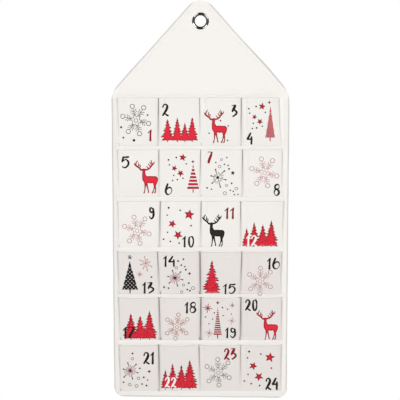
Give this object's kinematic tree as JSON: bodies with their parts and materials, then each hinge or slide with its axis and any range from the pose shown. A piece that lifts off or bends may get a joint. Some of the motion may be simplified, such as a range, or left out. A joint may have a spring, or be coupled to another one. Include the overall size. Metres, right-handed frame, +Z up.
{
  "type": "wall advent calendar",
  "caption": "House-shaped canvas wall hanging with rows of sewn, numbered gift pockets and a metal hanging eyelet below its rounded peak.",
  "frame": {"origin": "centre of the hanging eyelet's bore, on the plane of the wall (the rearmost face of the eyelet's rolled barrel)", "axes": "+Z up along the calendar's height, +Y from the room into the wall (through the cloth), +X to the viewer's right"},
  "size_m": [0.445, 0.0195, 1.0022],
  "materials": {
    "canvas": "off-white plain-weave cotton canvas",
    "pocket_canvas": "off-white plain-weave cotton canvas, printed",
    "lining_canvas": "unprinted natural cotton canvas",
    "stiffening_felt": "pressed non-woven felt, hidden",
    "batten": "flat flexible strip, hidden",
    "sewing_thread": "off-white polyester topstitching thread",
    "eyelet_metal": "polished gunmetal plating",
    "ink_red": "red screen print",
    "ink_black": "black screen print",
    "ink_grey": "grey screen print",
    "ink_rose": "light red screen print",
    "ink_white": "white knock-out print"
  },
  "bodies": {
    "root": {"back_lining": "lining_canvas", "body_interlining": "stiffening_felt", "channel_stitch_lower": "sewing_thread", "channel_stitch_upper": "sewing_thread", "divider_thread_1_1": "sewing_thread", "divider_thread_1_2": "sewing_thread", "divider_thread_1_3": "sewing_thread", "divider_thread_1_4": "sewing_thread", "divider_thread_1_5": "sewing_thread", "divider_thread_2_1": "sewing_thread", "divider_thread_2_2": "sewing_thread", "divider_thread_2_3": "sewing_thread", "divider_thread_2_4": "sewing_thread", "divider_thread_2_5": "sewing_thread", "divider_thread_3_1": "sewing_thread", "divider_thread_3_2": "sewing_thread", "divider_thread_3_3": "sewing_thread", "divider_thread_3_4": "sewing_thread", "divider_thread_3_5": "sewing_thread", "divider_thread_4_1": "sewing_thread", "divider_thread_4_2": "sewing_thread", "divider_thread_4_3": "sewing_thread", "divider_thread_4_4": "sewing_thread", "divider_thread_4_5": "sewing_thread", "divider_thread_5_1": "sewing_thread", "divider_thread_5_2": "sewing_thread", "divider_thread_5_3": "sewing_thread", "divider_thread_5_4": "sewing_thread", "divider_thread_5_5": "sewing_thread", "divider_thread_6_1": "sewing_thread", "divider_thread_6_2": "sewing_thread", "divider_thread_6_3": "sewing_thread", "divider_thread_6_4": "sewing_thread", "divider_thread_6_5": "sewing_thread", "edge_bobbin_stitch": "sewing_thread", "edge_topstitch": "sewing_thread", "eyelet_washer": "eyelet_metal", "front_panel": "canvas", "gable_stiffener": "stiffening_felt", "hanging_eyelet": "eyelet_metal", "pocket_foot_thread_1": "sewing_thread", "pocket_foot_thread_2": "sewing_thread", "pocket_foot_thread_3": "sewing_thread", "pocket_foot_thread_4": "sewing_thread", "pocket_foot_thread_5": "sewing_thread", "pocket_foot_thread_6": "sewing_thread", "pocket_hem_thread_1": "sewing_thread", "pocket_hem_thread_2": "sewing_thread", "pocket_hem_thread_3": "sewing_thread", "pocket_hem_thread_4": "sewing_thread", "pocket_hem_thread_5": "sewing_thread", "pocket_hem_thread_6": "sewing_thread", "pocket_strip_1": "pocket_canvas", "pocket_strip_2": "pocket_canvas", "pocket_strip_3": "pocket_canvas", "pocket_strip_4": "pocket_canvas", "pocket_strip_5": "pocket_canvas", "pocket_strip_6": "pocket_canvas", "spreader_batten": "batten"}
  },
  "joints": []
}
